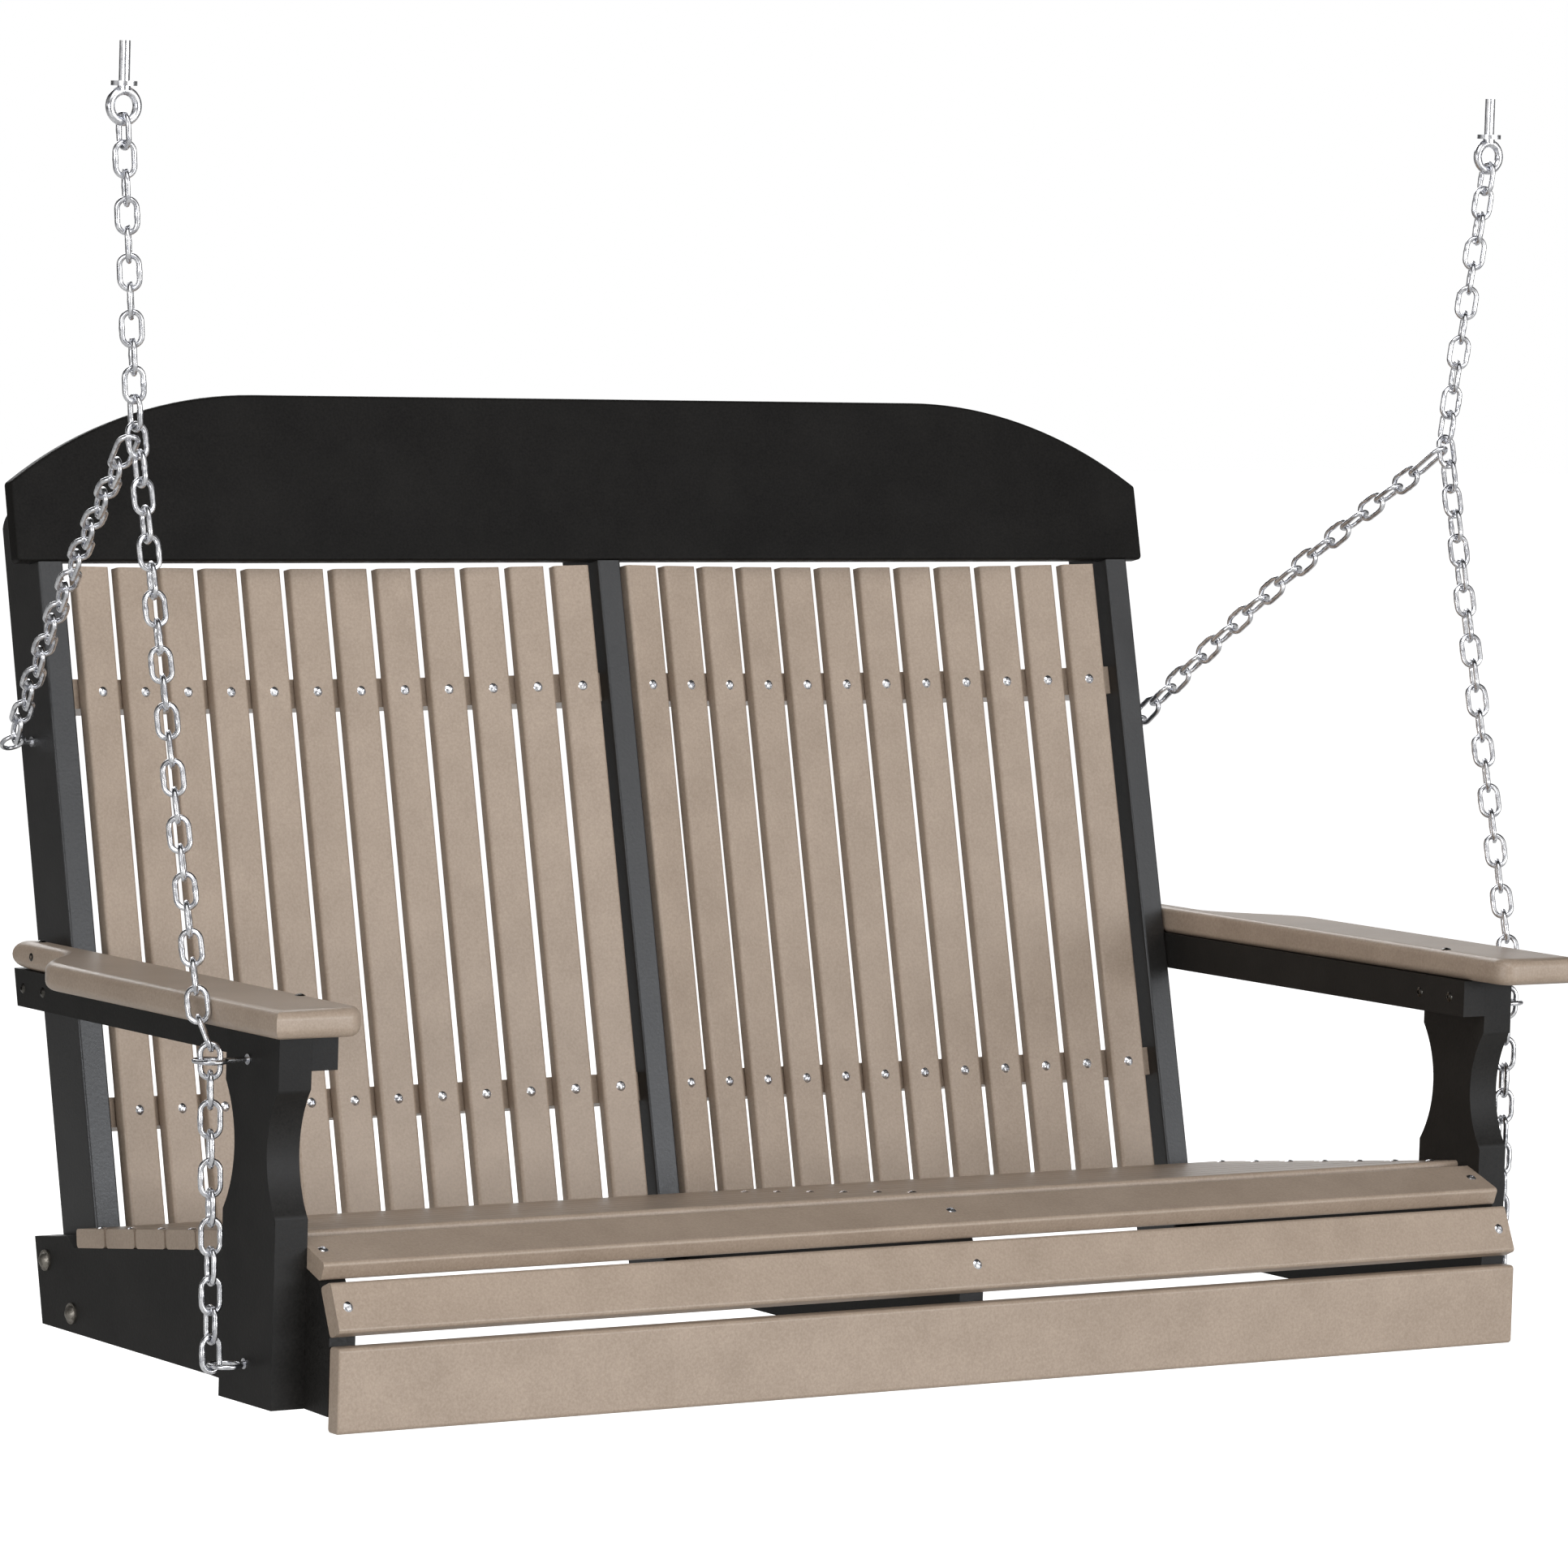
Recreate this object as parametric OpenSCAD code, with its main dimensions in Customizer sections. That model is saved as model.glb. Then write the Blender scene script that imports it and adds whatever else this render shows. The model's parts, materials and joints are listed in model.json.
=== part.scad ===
// Highback porch swing seat of plastic lumber boards, hung on two chain bridles.
// Bench frame: X along the seat (+X is the viewer's right), Y to the back, Z up,
// with Y = 0 on the front face and Z = 0 on the bottom edge of the front fascia board.
// The part's origin lies midway between the two ceiling hooks, on the face they screw into.

/* [Boards] */
// Thickness of the dark frame boards
board_t = 25.4; // [20:0.1:32]
// Thickness of the seat slats, fascia and crest
slat_t = 17; // [13:0.5:21]
// Width of the seat slats
slat_w = 50.8; // [40:0.1:60]
// Radius of the slats' rounded long edges
slat_r = 3.5; // [1:0.1:6]

/* [Seat] */
// Length of the seat slats
seat_w = 1270; // [1050:10:1550]
// Width of the steep slat above the fascia
drop_w = 44.5; // [36:0.1:56]
// Gap between the fascia board and the steep slat
drop_gap = 6.6; // [2:0.1:10]
// Height of the front fascia board
fascia_h = 73; // [55:1:90]
// Lean of the steep slat above the fascia, from the vertical
drop_lean = 23.6; // [15:0.1:32]
// Upward slope of the nose slat, front to back
nose_rise = 20; // [10:0.5:28]
// Downward slope of the flat slats, front to back
seat_fall = 7.2; // [3:0.1:12]
// Gap between neighbouring flat slats
slat_gap = 3.2; // [2:0.1:8]
// Bottom edge of the seat rails at the front
rail_low = 13; // [5:1:25]

/* [Back] */
// Lean of the back, from the vertical
back_lean = 12.985; // [8:0.1:18]
// Gap between the rear seat slat and the uprights
back_gap = 8.6; // [4:0.2:16]
// Depth of the uprights
upright_d = 63.5; // [50:0.5:80]
// Length of the uprights above fascia-bottom level, along the lean
upright_l = 770; // [640:5:930]
// Width of a back slat
back_slat_w = 37; // [30:0.5:40]
// Thickness of a back slat
back_slat_t = 14; // [11:0.5:18]
// Spacing of the back slats
back_pitch = 46.6; // [42:0.1:50]
// Depth of the hollow that each back panel bends to
panel_sag = 15.5; // [5:0.5:24]
// Height of the back cross rails
cross_h = 27; // [24:1:50]

/* [Crest] */
// Height of the crest board over its level middle stretch
crest_h = 155.4; // [120:1:190]
// Height of the crest board at its ends
crest_end_h = 73.5; // [50:1:95]
// Half length of the crest's level top edge
crest_flat = 370; // [250:5:420]
// Radius of the crest's rounded top edge
crest_round = 4; // [2:0.5:6]

/* [Arms] */
// Height of the arm boards' underside
arm_z = 334; // [290:1:380]
// Thickness of the arm boards
arm_t = 25.4; // [20:0.1:30]
// Width of the arm boards
arm_w = 88.9; // [75:0.1:96]
// Width of the arm boards' narrow rear tail
arm_tail_w = 48; // [40:1:60]
// Radius of the arm boards' rounded edges
arm_round = 6; // [3:0.5:9]
// Depth of the front posts
post_d = 88.9; // [70:0.1:110]
// Thickness of the front posts
post_t = 31.75; // [25:0.05:40]
// Depth of the hollows in the front posts' two edges
post_waist = 17; // [8:0.5:24]

/* [Chains] */
// Wire of the chain links
link_wire = 4.8; // [4:0.1:5.5]
// Clear width inside a link
link_inner = 12; // [11:0.1:14]
// Length that each link adds to a chain
link_pitch = 24; // [22:0.1:28]
// Play between two linked pieces of wire
link_gap = 0.3; // [0.2:0.05:0.5]
// Turn of the chains' flat-on links about the vertical
link_turn = -34; // [-45:1:45]
// Length of the main chains, hook to bridle
main_drop = 257; // [233:24:600]
// Outward and backward lean of the main chains
main_lean = [6.1, 3.5]; // [0:0.1:12]
// Slack of the rear chains, measured as sag
rear_sag = 9; // [2:1:20]

/* [Hardware] */
// Diameter of the screw heads
head_d = 9.4; // [6:0.1:11]
// Rise of the screw heads above the board
head_rise = 1.7; // [1:0.1:3]
// Diameter of the screw shanks
shank_d = 4.2; // [3:0.1:5]
// Wire of the eye bolts
eye_wire = 4.2; // [3.8:0.1:5]
// Radius of the arm and seat eyes, to the middle of the wire
eye_r = 13.6; // [13.4:0.1:15]
// Radius of the rear eyes, to the middle of the wire
rear_eye_r = 10; // [9:0.1:12]
// Wire of the snap hooks
snap_wire = 4.6; // [4:0.1:5]
// Radius of the threaded studs on the ceiling hooks
stud_r = 4.75; // [4:0.05:6]
// Length of the threaded studs
stud_l = 34; // [25:1:60]

/* [Hidden] */
$fn = 40;

left = -1;
right = 1;
fit = 0.05; // radial play of a screw in its hole
play = 0.1; // play between boards that lie on or against each other
tan_colour = "#a99c8a";
dark_colour = "#2f2c2a";
steel_colour = "#c4c6c8";

// Points and directions in a side view are [y, z]
function toward(a) = [cos(a), sin(a)];
function above(a) = [-sin(a), cos(a)];
function cross2(a, b) = a[0] * b[1] - a[1] * b[0];
function meet(p, a, q, b) = p + toward(a) * cross2(q - p, toward(b)) / cross2(toward(a), toward(b));
function back_point(depth, up) =
    [back_y + up * sin(back_lean) + depth * cos(back_lean), up * cos(back_lean) - depth * sin(back_lean)];
function unit(v) = v / norm(v);
function mirrored(v, side) = [side * v[0], v[1], v[2]];

// Seat line: lower front corner, slope and width of each board, front to back
nose_gap = 4.57;
nose_set = 1.32;
flat_gap = 4.6;
seat_slats = 7;
flat_pitch = slat_w + slat_gap;
drop_slope = 90 - drop_lean;
drop_low = [slat_t * cos(drop_lean), fascia_h + drop_gap];
nose_low = drop_low + (drop_w + nose_gap) * toward(drop_slope) + nose_set * above(drop_slope);
flat_low = nose_low + (slat_w + flat_gap) * toward(nose_rise);
flat_run = seat_slats * flat_pitch - slat_gap;
flat_end = flat_low + flat_run * toward(-seat_fall);
fascia_place = [[slat_t, 0], 90, fascia_h];
drop_place = [drop_low, drop_slope, drop_w];
nose_place = [nose_low, nose_rise, slat_w];
function flat_place(k) = [flat_low + (k - 1) * flat_pitch * toward(-seat_fall), -seat_fall, slat_w];
function face_middle(place) = place[0] + place[2] / 2 * toward(place[1]) + slat_t * above(place[1]);

// Frame lines across the seat
rail_x = seat_w / 2 - board_t;
upright_x = rail_x - board_t - play;
post_x = seat_w / 2;
screw_x = seat_w / 2 - board_t / 2;
back_y = flat_end[0] + back_gap - flat_end[1] * tan(back_lean);

// Seat rails
rail_rear = upright_d + 4.5;
rail_step_rise = 6.4;
ear_h = 10.5;
ear_gap = 5;
ear_run = 14;
rail_foot_up = 37.2;
rail_step_y = 214;

// Back panels
panel_w = upright_x - board_t / 2;
panel_side = 8; // least space beside a panel, before its shift
panel_shift = -2.5; // the panels stand a little nearer to the centre upright
back_slats = floor((panel_w - 2 * panel_side + back_pitch - back_slat_w) / back_pitch);
face_set = 4.5;
panel_mid = board_t / 2 + panel_w / 2 + panel_shift;
panel_half = (back_slats - 1) * back_pitch / 2;
panel_r = (panel_half * panel_half + panel_sag * panel_sag) / (2 * panel_sag);
panel_depth = face_set + panel_sag;
crest_up = upright_l - 53.5;
slat_top_up = crest_up - 4;
slat_foot_up = 113;
upper_rail_up = crest_up - 118.5;
lower_rail_up = 218.7;
cross_rear = 60;
upright_round = 22;

// Crest
crest_half = rail_x + 20;
crest_drop = crest_h - crest_end_h;
crest_run = crest_half - crest_flat;
crest_r = (crest_run * crest_run + crest_drop * crest_drop) / (2 * crest_drop);

// Arms and posts
arm_in = rail_x + 3;
arm_out = arm_in + arm_w;
arm_front = 3;
arm_rear = arm_rail_rear(arm_z);
arm_corner = 14;
arm_rail_h = 33.6;
step_back = [165, 90]; // where the arm narrows, from its rear end
tail_r = 12;
tail_screw_back = 26;
front_screw_back = 44; // behind the post's front edge
post_screw_in = [22, 22.9]; // from the post's front and rear edges
rail_screw_in = [13, 13.5]; // from the upright's rear and front edges
post_y = 57;
arm_rail_front = post_y;
post_foot = 14;
post_top = arm_z;
waist_z = 230;
waist_half = 55;
waist_r = (waist_half * waist_half + post_waist * post_waist) / (2 * post_waist);
function arm_rail_rear(z) = back_y + z * tan(back_lean) + upright_d / cos(back_lean);

// Chains, all on the right side of the bench; the left one is mirrored
crest_screw_l = 57;
crest_screw_ups = [14, 52];
bridle_out = 79;
eye_off_post = 19.3;
eye_off_upright = 20.4;
rear_eye_back = 164;
bridle = [seat_w / 2 + bridle_out, 243, 833];
arm_eye = [arm_out + 2.5, 108, 306];
seat_eye = [post_x + post_t + eye_off_post, 102, 48];
rear_eye = [upright_x + board_t + eye_off_upright, rear_eye_back + back_y, 535.5];
knee = [arm_out + 10, 115, 341];
up_main = unit([tan(main_lean[0]), -tan(main_lean[1]), 1]);
hook_wire = 8;
hook_r = 13;
hook_collar = 4;
hook_neck_r = 1.2 * stud_r;
hook_hold = bridle + (main_drop + link_wire / 2) * up_main;
hook_plane = hook_hold[2] + 2 * hook_r + hook_wire / 2 + hook_collar;
hook_y = hook_hold[1];
link_r = (link_inner + link_wire) / 2;

module hung() translate([0, -hook_y, -hook_plane]) children();
module tan_board() color(tan_colour) hung() children();
module dark_board() color(dark_colour) hung() children();
module steel() color(steel_colour) hung() children();

// ---- Boards ----

// Rectangle with rounded corners, its lower left corner at the origin
module soft_rect(w, h, r) {
    translate([r, 0]) square([w - 2 * r, h]);
    translate([0, r]) square([w, h - 2 * r]);
    for (x = [r, w - r], y = [r, h - r]) translate([x, y]) circle(r);
}

// A side view's outline drawn out along X, from x to x + length
module drawn(x, length) translate([x, 0, 0]) rotate([90, 0, 90]) linear_extrude(length) children();

module pose_back() translate([0, back_y, 0]) rotate([-back_lean, 0, 0]) children();

// A seat slat with its screw holes over the three rails
module slat(place, screws = true) {
    difference() {
        drawn(-seat_w / 2, seat_w) translate(place[0]) rotate(place[1]) soft_rect(place[2], slat_t, slat_r);
        if (screws) slat_screws(place) screw_hole();
    }
}

// The three places where screws hold a slat, with +Z out of its face
module slat_screws(place) {
    middle = face_middle(place);
    for (x = [-screw_x, board_t, screw_x])
        translate([x, middle[0], middle[1]]) rotate([place[1], 0, 0]) children();
}

module screw_hole(length = 34) translate([0, 0, -length - 1]) cylinder(r = shank_d / 2 + fit, h = length + 2);

// A domed head of diameter d that rises by h
module low_dome(d, h) {
    ball = (d * d / 4 + h * h) / (2 * h);
    intersection() {
        cylinder(d = d, h = h);
        translate([0, 0, h - ball]) sphere(ball, $fn = 64);
    }
}

module pan_screw(length = 34, head = head_d) {
    low_dome(head, head_rise);
    translate([0, 0, -length]) cylinder(d = shank_d, h = length);
}

module seat_rail_outline() {
    front_y = slat_t + play;
    drop_line = drop_low - play * above(drop_slope);
    nose_line = nose_low - play * above(nose_rise);
    flat_line = flat_low - play * above(-seat_fall);
    front = meet([front_y, 0], 90, drop_line, drop_slope);
    under_nose = meet(drop_line, drop_slope, nose_line, nose_rise);
    under_flat = meet(nose_line, nose_rise, flat_line, -seat_fall);
    ear_start = flat_line + (flat_run + ear_gap) * toward(-seat_fall);
    ear_top = ear_start + ear_run * toward(-seat_fall) + ear_h * above(-seat_fall);
    rear_top = meet(ear_top, -seat_fall, back_point(rail_rear, 0), 90 - back_lean);
    rear_foot = back_point(rail_rear, rail_foot_up);
    polygon([[front_y, rail_low], front, under_nose, under_flat, ear_start, ear_top, rear_top,
        rear_foot, [rail_step_y, rail_low + rail_step_rise]]);
}

module seat_rail(x) {
    difference() {
        drawn(x, board_t) seat_rail_outline();
        for (place = [drop_place, nose_place, for (k = [1:seat_slats]) flat_place(k)])
            slat_screws(place) screw_hole();
        frame_bolts() frame_bolt_hole();
        side_of(x) eye_bolt_place(seat_eye) cylinder(r = eye_wire / 2 + fit, h = 200, center = true);
    }
}

// Side places of the bolts that hold the uprights to the seat rails, in [depth, up]
bolt_points = [[51.6, 92.5], [11.9, 41.2]];
bolt_d = 7.6;
bolt_head = 15;
bolt_head_rise = 4.6;
washer_d = 19;
washer_t = 1.6;
nut_t = 6.4;
nut_d = 14.4;

// Each bolt axis along X, with +Z out of the rail's outer face
module frame_bolts() {
    for (side = [left, right], point = bolt_points) {
        p = back_point(point[0], point[1]);
        translate([side * seat_w / 2, p[0], p[1]]) rotate([0, side * 90, 0]) children();
    }
    for (point = bolt_points) {
        p = back_point(point[0], point[1]);
        translate([board_t * 1.5 + play, p[0], p[1]]) rotate([0, 90, 0]) children();
    }
}

module frame_bolt_hole() translate([0, 0, -2 * board_t - 1]) cylinder(r = bolt_d / 2 + fit, h = 2 * board_t + 2);

module frame_bolt() {
    grip = 2 * board_t + play;
    shank = grip + nut_t + 2 * washer_t + 2;
    pan_bolt_head();
    translate([0, 0, washer_t - shank]) cylinder(d = bolt_d, h = shank);
    washer();
    translate([0, 0, -grip - washer_t]) washer();
    translate([0, 0, -grip - washer_t - nut_t]) nut();
}

module washer() difference() {
    cylinder(d = washer_d, h = washer_t);
    translate([0, 0, -1]) cylinder(d = bolt_d + 2 * fit, h = washer_t + 2);
}

module nut() difference() {
    cylinder(d = nut_d, h = nut_t, $fn = 6);
    translate([0, 0, -1]) cylinder(d = bolt_d + 2 * fit, h = nut_t + 2);
}

module pan_bolt_head() translate([0, 0, washer_t]) low_dome(bolt_head, bolt_head_rise);

// ---- Back ----

module upright_side() {
    foot = rail_foot_up - 4;
    difference() {
        translate([0, foot]) square([upright_d, upright_l - foot]);
        translate([upright_d - upright_round, upright_l - upright_round])
            difference() {
                square(upright_round + 1);
                circle(upright_round);
            }
        translate([-1, crest_up]) square([slat_t + 1, upright_l]);
    }
}

module upright(x) {
    difference() {
        pose_back() intersection() {
            drawn(x, board_t) upright_side();
            translate([x, 0, 0]) linear_extrude(upright_l) soft_rect(board_t, upright_d, 2.5);
        }
        frame_bolts() frame_bolt_hole();
        side_of(x + board_t) {
            eye_bolt_place(rear_eye) cylinder(r = eye_wire / 2 + fit, h = 200, center = true);
            arm_rail_screws() screw_hole(44);
        }
        crest_places() screw_hole(crest_screw_l + 1);
    }
}

// Each screw that holds the crest, with +Z out of the rear edge of its upright
module crest_places() pose_back()
    for (x = [-upright_x - board_t / 2, 0, upright_x + board_t / 2], up = crest_screw_ups)
        translate([x, upright_d, crest_up + up]) rotate([-90, 0, 0]) children();

// Front view of the crest, drawn in by the radius of its edges, its lower edge at zero
module crest_outline(inset) {
    high = crest_h - 2 * inset;
    run = crest_run - inset;
    r = crest_r - inset;
    translate([-crest_flat, 0]) square([2 * crest_flat, high]);
    for (side = [left, right]) intersection() {
        translate([side * crest_flat, high - r]) circle(r, $fn = 200);
        translate([side > 0 ? crest_flat : -crest_flat - run, 0]) square([run, high]);
    }
}

module crest() {
    difference() {
        pose_back() translate([0, slat_t - play, crest_up + play]) rotate([90, 0, 0]) minkowski() {
            translate([0, crest_round, crest_round])
                linear_extrude(slat_t - play - 2 * crest_round) crest_outline(crest_round);
            sphere(crest_round, $fn = 16);
        }
        crest_places() screw_hole(crest_screw_l + 1);
    }
}

// A back slat's place on its panel's bend, with -Y out of its face
module on_panel(side, k) {
    x = (k - (back_slats - 1) / 2) * back_pitch;
    translate([side * panel_mid, panel_depth - panel_r, 0])
        rotate([0, 0, -side * asin(x / panel_r)]) translate([0, panel_r, 0]) children();
}

module back_slat_screws(side, up) {
    for (k = [0:back_slats - 1])
        on_panel(side, k) translate([0, 0, up]) rotate([90, 0, 0]) children();
}

module back_panel(side) pose_back() difference() {
    for (k = [0:back_slats - 1]) on_panel(side, k)
        translate([-back_slat_w / 2, 0, slat_foot_up])
            linear_extrude(slat_top_up - slat_foot_up) soft_rect(back_slat_w, back_slat_t, slat_r);
    for (up = [upper_rail_up, lower_rail_up]) back_slat_screws(side, up) screw_hole(30);
}

module cross_rail(side, up) {
    x = side > 0 ? board_t / 2 : -upright_x;
    pose_back() difference() {
        translate([x + play, 0, up - cross_h / 2])
            cube([upright_x - board_t / 2 - 2 * play, cross_rear, cross_h]);
        translate([side * panel_mid, panel_depth - panel_r, 0])
            cylinder(r = panel_r + back_slat_t + 2 * play, h = 2 * upright_l, $fn = 360);
        back_slat_screws(side, up) screw_hole(30);
    }
}

// ---- Arms ----

module post_outline() difference() {
    translate([post_y, post_foot]) square([post_d, post_top - post_foot - play]);
    for (y = [post_y - waist_r + post_waist, post_y + post_d + waist_r - post_waist])
        translate([y, waist_z]) circle(waist_r, $fn = 180);
}

module front_post() difference() {
    drawn(post_x, post_t) post_outline();
    for (eye = [arm_eye, seat_eye])
        eye_bolt_place(eye) cylinder(r = eye_wire / 2 + fit, h = 200, center = true);
    post_screws() screw_hole(50);
}

// Screws from inside the arm rail into the post, with +Z toward the middle of the bench
module post_screws() for (y = [post_y + post_screw_in[0], post_y + post_d - post_screw_in[1]])
    translate([rail_x, y, arm_z - arm_rail_h / 2]) rotate([0, -90, 0]) children();

// Screws from outside the arm rail into the upright
module arm_rail_screws() for (back = [rail_screw_in[0], upright_d - rail_screw_in[1]]) {
    z = arm_z - arm_rail_h / 2;
    translate([seat_w / 2, arm_rail_rear(z) - back, z]) rotate([0, 90, 0]) children();
}

// Screws down through the arm board into the arm rail
module arm_board_screws() for (y = [arm_rear - tail_screw_back, post_y + front_screw_back])
    translate([screw_x, y, arm_z + arm_t]) children();

module arm_rail() difference() {
    drawn(rail_x, board_t) polygon([[arm_rail_front, arm_z - arm_rail_h], [arm_rail_front, arm_z - play],
        [arm_rail_rear(arm_z), arm_z - play], [arm_rail_rear(arm_z - arm_rail_h), arm_z - arm_rail_h]]);
    post_screws() screw_hole(50);
    arm_rail_screws() screw_hole(44);
    arm_board_screws() screw_hole(44);
}

// Plan of the arm board, drawn in by its edge radius
module arm_plan() {
    r = arm_round;
    corner = arm_corner - r;
    tail_out = arm_in + arm_tail_w - r;
    step_front = arm_rear - step_back[0];
    step_rear = arm_rear - step_back[1];
    step = arm_w - arm_tail_w;
    reach = step_rear - step_front;
    curve = [for (t = [0:0.125:1]) [tail_out + step * (1 + cos(180 * t)) / 2, step_front + reach * t]];
    front = [for (a = [270:15:360]) [arm_out - r - corner, arm_front + r + corner] + corner * toward(a)];
    inner = [for (a = [180:15:270]) [arm_in + r + corner, arm_front + r + corner] + corner * toward(a)];
    tail = [for (a = [0:15:90]) [tail_out - tail_r, arm_rear - r - tail_r] + tail_r * toward(a)];
    polygon(concat(inner, front, curve, tail, [[arm_in + r, arm_rear - r]]));
}

module arm_board() difference() {
    minkowski() {
        translate([0, 0, arm_z + arm_round]) linear_extrude(arm_t - 2 * arm_round) arm_plan();
        sphere(arm_round, $fn = 20);
    }
    arm_board_screws() screw_hole(44);
}

// ---- Chains ----

// One oval link in the XZ plane, centred, with the given clear length inside
module link(inside) {
    straight = round((inside - link_inner) * 50) / 50;
    for (end = [0, 180]) rotate([0, end, 0]) {
        translate([0, 0, straight / 2]) rotate([90, 0, 0])
            rotate_extrude(angle = 180) translate([link_r, 0]) circle(d = link_wire, $fn = 24);
        translate([link_r, 0, -straight / 2]) cylinder(d = link_wire, h = straight, $fn = 24);
    }
}

// Turns +Z onto the direction v, with +X brought to the given bearing
module turned(v, bearing) {
    round = atan2(v[1], v[0]);
    rotate([0, acos(v[2] / norm(v)), round]) rotate([0, 0, bearing - round]) children();
}

// A chain through a list of points, one link from each point to the next, that takes
// up the turn toward the middle of its length
module chain(points, bearing, turn = 0) {
    last = len(points) - 2;
    for (k = [0:last]) {
        run = points[k + 1] - points[k];
        translate((points[k] + points[k + 1]) / 2)
            turned(run, bearing + 90 * (k % 2) + turn * sin(180 * k / last)) link(norm(run) + link_gap);
    }
}

// How many links reach from a to b, as the nearest odd or even number
function odd_count(a, b) = 2 * round((norm(b - a) / link_pitch - 1) / 2) + 1;
function even_count(a, b) = 2 * round(norm(b - a) / link_pitch / 2);

// Points shared out from a to b, bowed sideways by sag along the direction out
function shared(a, b, n, sag = 0, out = [0, 0, 0]) =
    [for (k = [0:n]) a + (b - a) * k / n + out * 4 * sag * (k / n) * (1 - k / n)];

module main_chain(side) {
    top = hook_hold + up_main * (hook_wire + link_gap) / 2;
    points = shared(bridle, top, odd_count(bridle, top));
    chain([for (p = points) mirrored(p, side)], 90, link_turn);
}

// The front chain runs up from the seat eye, through the arm eye, past the arm's edge
up_front = unit(bridle - knee);
seat_hold = seat_eye + [eye_r, 0, 0];
up_low = unit(arm_eye - seat_hold);
guide_low = arm_eye - up_low * link_pitch / 2;
guide_top = arm_eye + up_low * link_pitch / 2;
chain_foot = seat_hold - up_low * (eye_wire + link_gap) / 2;
front_path = concat(
    shared(chain_foot, guide_low, even_count(chain_foot, guide_low)),
    [guide_top],
    shared(knee, bridle, odd_count(knee, bridle)));

module front_chain(side) chain([for (p = front_path) mirrored(p, side)], 0, link_turn);

// Snap hook: its top clips round the left side wire of the front chain's first link
snap_r = 8.5;
snap_span = 28;
snap_seat = snap_r - 5.5; // middle of the caught wire above the middle of the top bend
up_rear = unit(bridle - [0, 0, link_pitch / 2] - rear_eye);
gate_gap = 0.35;
gate_heel_gap = 0.85; // lets the heel of the gate swing clear of the bend
nose_l = 3.5;
tongue_t = 1.8;
tongue_l = 5;
pin_up = 2.8;
gate_pin_d = 1.8;

function caught_wire(side) = mirrored(bridle - up_front * link_pitch / 2, side) - [link_r, 0, 0];
function snap_origin(side) = caught_wire(side) - mirrored(up_rear, side) * (snap_span + snap_seat);
function snap_bearing(side) = atan2(up_rear[1], side * up_rear[0]) + 90;

// The hook lies in its own XZ plane, its lower bend round the origin
module at_snap(side) translate(snap_origin(side)) turned(mirrored(up_rear, side), snap_bearing(side)) children();

module snap_bend(turn) rotate([0, turn, 0]) rotate([90, 0, 0])
    rotate_extrude(angle = 180) translate([snap_r, 0]) circle(d = snap_wire, $fn = 28);

module snap_hook(side) at_snap(side) {
    translate([0, 0, snap_span]) snap_bend(0);
    snap_bend(180);
    translate([snap_r, 0, 0]) cylinder(d = snap_wire, h = snap_span, $fn = 28);
    translate([-snap_r, 0, snap_span - nose_l]) cylinder(d = snap_wire, h = nose_l, $fn = 28);
    translate([-snap_r, 0, 0]) {
        intersection() {
            cylinder(d = snap_wire, h = tongue_l, $fn = 28);
            translate([-snap_wire, -tongue_t / 2, 0]) cube([2 * snap_wire, tongue_t, tongue_l]);
        }
        translate([0, 0, pin_up]) rotate([90, 0, 0]) cylinder(d = gate_pin_d, h = snap_wire + 0.6, center = true);
    }
}

module snap_gate(side) at_snap(side) translate([-snap_r, 0, 0]) difference() {
    gate_l = snap_span - nose_l - gate_gap - gate_heel_gap;
    slot = tongue_t + 0.5;
    translate([0, 0, gate_heel_gap]) cylinder(d = snap_wire, h = gate_l, $fn = 28);
    translate([-snap_wire, -slot / 2, -1]) cube([2 * snap_wire, slot, tongue_l + 2]);
    translate([0, 0, pin_up]) rotate([90, 0, 0]) cylinder(r = gate_pin_d / 2 + 0.06, h = 20, center = true);
}

module rear_chain(side) {
    low = rear_eye + up_rear * (rear_eye_r - (eye_wire + link_gap) / 2);
    top = mirrored(snap_origin(side), side) - up_rear * (snap_r - (snap_wire + link_gap) / 2);
    down = unit(cross(top - low, [1, 0, 0]));
    points = shared(low, top, odd_count(low, top), rear_sag, down);
    chain([for (p = points) mirrored(p, side)], snap_bearing(side) + 90);
}

// ---- Eye bolts and ceiling hooks ----

// Puts +Z along X, outward, at an eye's middle
module eye_bolt_place(eye) translate(eye) rotate([0, 90, 0]) children();

// Eye with its shank reaching inward; tilt turns the ring about the shank
module eye_bolt(eye, r, tilt, shank_end, face, nut_face) translate(eye) {
    rotate([tilt, 0, 0]) rotate_extrude() translate([r, 0]) circle(d = eye_wire, $fn = 28);
    reach = eye[0] - shank_end - r;
    translate([-r - reach, 0, 0]) rotate([0, 90, 0]) cylinder(d = eye_wire, h = reach);
    if (nut_face > 0) translate([nut_face - eye[0] - nut_h, 0, 0]) rotate([0, 90, 0]) eye_nut();
    translate([face - eye[0], 0, 0]) rotate([0, 90, 0]) cylinder(d = eye_wire * 2.2, h = 1.5);
}

nut_h = 4;

module eye_nut() cylinder(d = eye_wire * 2.2, h = nut_h, $fn = 6);

module ceiling_hook(side) translate(mirrored(hook_hold, side)) {
    translate([0, 0, hook_r]) rotate([90, 0, 0]) rotate_extrude()
        translate([hook_r, 0]) circle(d = hook_wire, $fn = 32);
    translate([0, 0, 2 * hook_r]) cylinder(r = hook_neck_r, h = hook_wire / 2 + hook_collar / 2);
    translate([0, 0, 2 * hook_r + hook_wire / 2]) {
        cylinder(r = 2.4 * stud_r, h = hook_collar);
        translate([0, 0, hook_collar / 2]) cylinder(r = stud_r, h = hook_collar / 2 + stud_l);
    }
}

// ---- Nodes ----

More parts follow.
